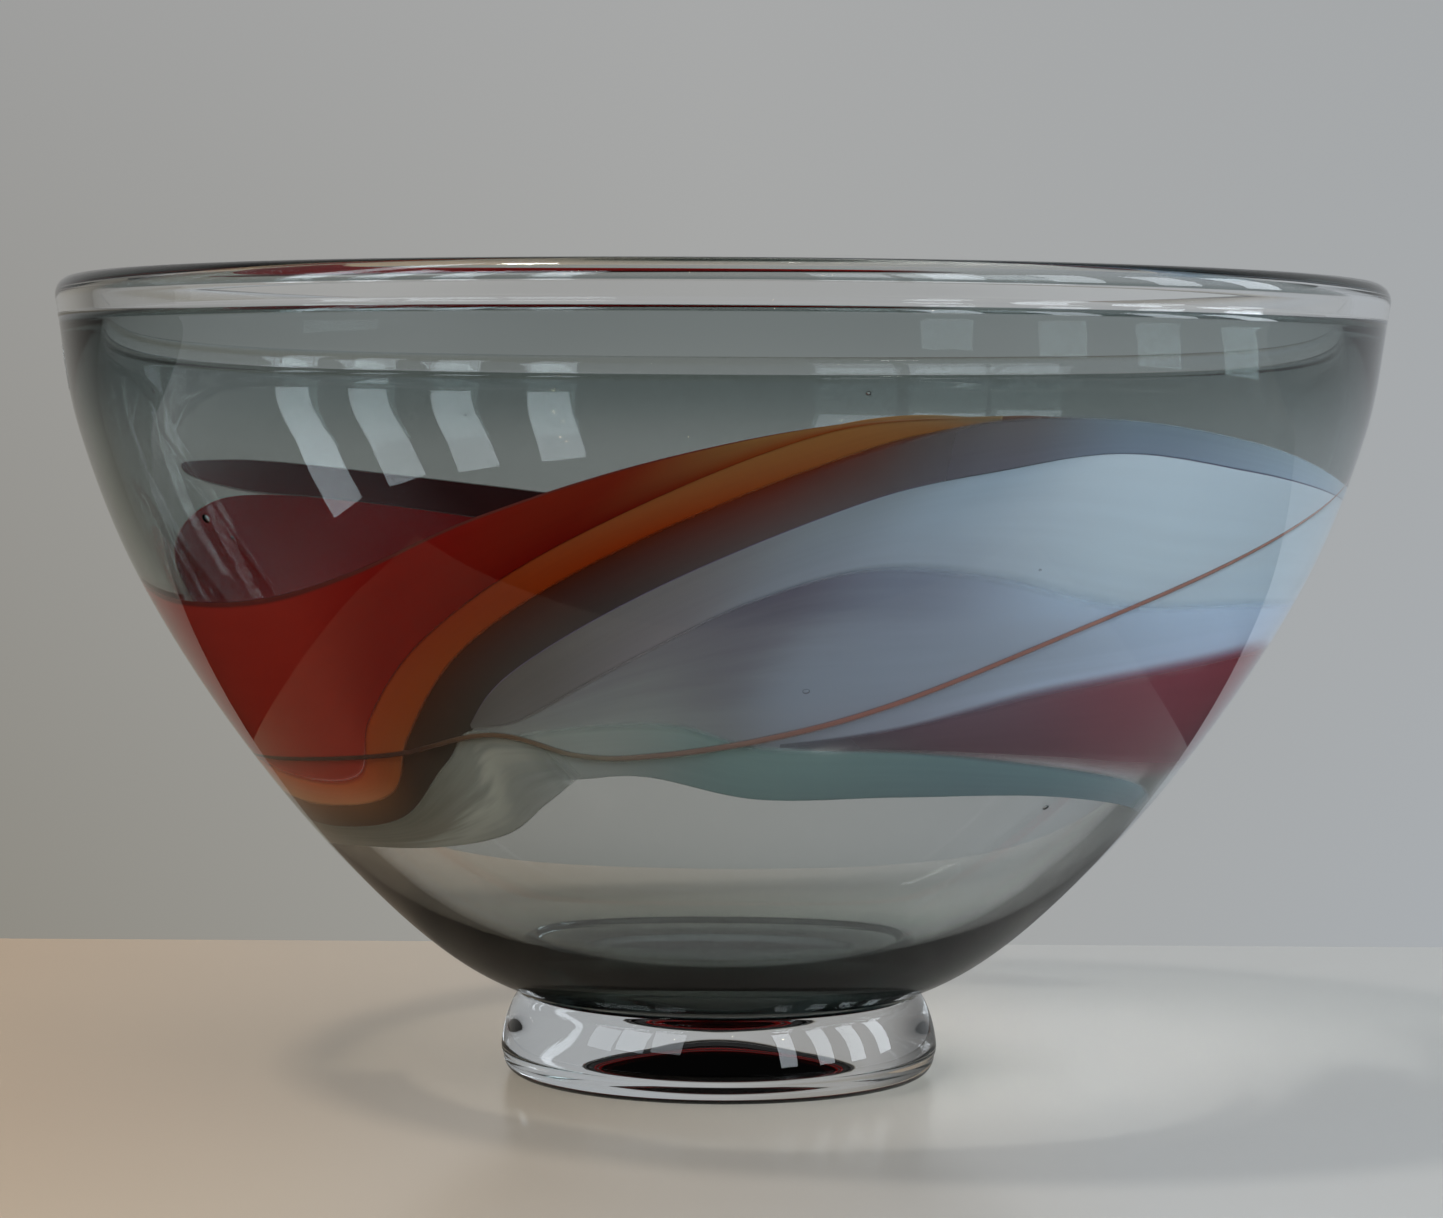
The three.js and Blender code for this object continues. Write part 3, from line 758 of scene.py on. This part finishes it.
def table_material():
    """Pale lacquer, with painted light on it: warm lamplight on the left and cool daylight on the right.
    Mirrored in the glass it is painted darker, and it ends like a small table top. Beyond it a painted
    reflection of the room is dark, and paler far to either side."""
    nodes = new_material("pale_lacquer")
    place = nodes.add("ShaderNodeSeparateXYZ")
    nodes.join(nodes.add("ShaderNodeTexCoord").outputs["Object"], place.inputs[0])
    x, y = place.outputs[0], place.outputs[1]
    shader = nodes.add("ShaderNodeBsdfPrincipled")
    side = nodes.maths("ADD", nodes.maths("MULTIPLY", x, 2.2), 0.5)
    # painted light: the warm tone on the left stands for lamplight falling there, the cool tone on the right
    # for daylight
    painted_light_tone = nodes.ramp(side, [(0, (0.66, 0.45, 0.27)), (0.3, (0.64, 0.51, 0.38)), (0.7, (0.63, 0.62, 0.6)),
                             (1, (0.64, 0.64, 0.63))])
    nodes.join(painted_light_tone, shader.inputs["Base Color"])
    shader.inputs["Roughness"].default_value = 0.18
    shader.inputs["Specular IOR Level"].default_value = 0.12
    on_table = nodes.maths("MULTIPLY", between(nodes, x, -TABLE_SIDE, TABLE_SIDE),
                           nodes.maths("GREATER_THAN", y, TABLE_FRONT))
    mirrored = mirror_only(nodes)
    # painted reflection: seen mirrored in the glass, the table top is painted darker, and beyond it the floor
    # is painted as a dark room, paler far to either side
    beyond = nodes.maths("MULTIPLY", mirrored, nodes.maths("SUBTRACT", 1, on_table))
    painted_mirror_shade = nodes.maths("MULTIPLY", mirrored, 0.65)
    room = nodes.add("ShaderNodeBsdfDiffuse")
    far_aside = nodes.ramp(nodes.maths("ABSOLUTE", x), [(ROOM_NEAR, 0.01), (ROOM_FAR, 0.55)], "EASE")
    nodes.join(far_aside, room.inputs["Color"])
    share = nodes.maths("MAXIMUM", beyond, painted_mirror_shade)
    nodes.join(nodes.mix(share, shader.outputs[0], room.outputs[0]), nodes.output.inputs[0])
    return nodes.owner


def build_table():
    corners = [(-TABLE_REACH, -TABLE_REACH), (TABLE_REACH, -TABLE_REACH),
               (TABLE_REACH, TABLE_BACK), (-TABLE_REACH, TABLE_BACK)]
    table = link_mesh("table", [(x, y, 0) for x, y in corners], [(0, 1, 2, 3)], smooth=False)
    table.data.materials.append(table_material())


build_table()


def area_light(name, place, aim, size, power, colour):
    light = bpy.data.lights.new(name, "AREA")
    light.shape = "RECTANGLE"
    light.size, light.size_y = size
    light.energy = power
    light.color = colour
    lamp = bpy.data.objects.new(name, light)
    lamp.location = place
    lamp.rotation_euler = (Vector(aim) - Vector(place)).to_track_quat("-Z", "Y").to_euler()
    bpy.context.scene.collection.objects.link(lamp)
    return lamp


DAYLIGHT, LAMPLIGHT = (0.85, 0.93, 1), (1, 0.72, 0.45)
for number, (place, power) in enumerate([((-2.0, -0.85, 0.95), 4), ((-1.55, -1.35, 1.0), 5),
                                         ((-0.95, -1.75, 1.05), 4)]):
    area_light(f"window_pane_{number}", place, (0, 0, 0.12), (0.62, 0.75), power, DAYLIGHT)
for number, place in enumerate([(2.15, 0.3, 0.8), (2.1, -0.45, 0.8), (1.85, -1.15, 0.85), (1.35, -1.8, 0.9)]):
    area_light(f"window_right_{number}", place, (0, 0, 0.1), (0.38, 1.2), 7.5, DAYLIGHT)
area_light("ceiling", (-0.74, -0.32, 2.2), (0, 0, 0), (0.2, 0.2), 10, (1, 0.97, 0.92))
SPARK_RADIUS, SPARK_POWER = 0.012, 0.5
SPARKS = [(-0.9, -2.0, 1.5), (-0.8, -2.0, 1.45), (-0.95, -2.0, 1.36), (1.2, -1.7, 1.3), (1.26, -1.7, 1.22),
          (0.3, -2.1, 1.6)]
for number, spot in enumerate(SPARKS):
    spark = bpy.data.lights.new(f"spark_{number}", "POINT")
    spark.shadow_soft_size = SPARK_RADIUS
    spark.energy = SPARK_POWER
    spark.color = LAMPLIGHT
    lamp = bpy.data.objects.new(spark.name, spark)
    lamp.location = spot
    bpy.context.scene.collection.objects.link(lamp)


def build_world():
    """A soft grey backdrop. Mirrored in the glass, the room in front and above is dark."""
    nodes = Nodes(bpy.data.worlds.new("studio"), "ShaderNodeOutputWorld")
    bpy.context.scene.world = nodes.owner
    place = nodes.add("ShaderNodeSeparateXYZ")
    nodes.join(nodes.add("ShaderNodeTexCoord").outputs["Generated"], place.inputs[0])
    side = nodes.maths("ADD", nodes.maths("MULTIPLY", place.outputs[0], 2.4), 0.5)
    low = nodes.ramp(side, [(0, (0.26, 0.245, 0.21)), (0.5, (0.36, 0.36, 0.345)), (1, (0.4, 0.425, 0.45))])
    high = nodes.ramp(side, [(0, (0.34, 0.34, 0.335)), (0.5, (0.39, 0.395, 0.395)), (1, (0.375, 0.39, 0.4))])
    rise = nodes.maths("ADD", nodes.maths("MULTIPLY", place.outputs[2], 4.0), 0.55)
    backdrop = nodes.blend(rise, low, high)
    front = nodes.ramp(nodes.maths("ADD", place.outputs[1], 0.5), [(0.1, 1), (0.45, 0)], "EASE")
    above = nodes.ramp(place.outputs[2], [(0.5, 0), (0.75, 1)], "EASE")
    left = nodes.ramp(nodes.maths("ADD", place.outputs[0], 1.0), [(0.2, 0.7), (0.6, 0)], "EASE")
    dark = nodes.maths("MAXIMUM", nodes.maths("MAXIMUM", front, above), left)
    path = nodes.add("ShaderNodeLightPath")
    unseen = nodes.maths("MULTIPLY", dark, path.outputs["Is Glossy Ray"])
    light = nodes.add("ShaderNodeBackground")
    nodes.join(nodes.blend(unseen, backdrop, (0.03, 0.03, 0.03)), light.inputs[0])
    nodes.join(light.outputs[0], nodes.output.inputs[0])


build_world()

# ---------------------------------------------------------------- camera
EYE_HEIGHT = 0.1596
DISTANCE = 0.943
FOCAL = 96.4
PITCH = math.radians(2.81)
ROLL = math.radians(0.35)
camera_data = bpy.data.cameras.new("camera")
camera_data.lens = FOCAL
camera_data.sensor_width = 36
camera = bpy.data.objects.new("camera", camera_data)
camera.matrix_world = (Matrix.Translation((0, -DISTANCE, EYE_HEIGHT))
                       @ Matrix.Rotation(math.pi / 2 - PITCH, 4, "X") @ Matrix.Rotation(ROLL, 4, "Z"))
bpy.context.scene.collection.objects.link(camera)
bpy.context.scene.camera = camera

scene = bpy.context.scene
scene.view_settings.view_transform = "Standard"
scene.cycles.max_bounces = 32
scene.cycles.transmission_bounces = 24
scene.cycles.transparent_max_bounces = 64
scene.cycles.diffuse_bounces = 4
scene.cycles.glossy_bounces = 12
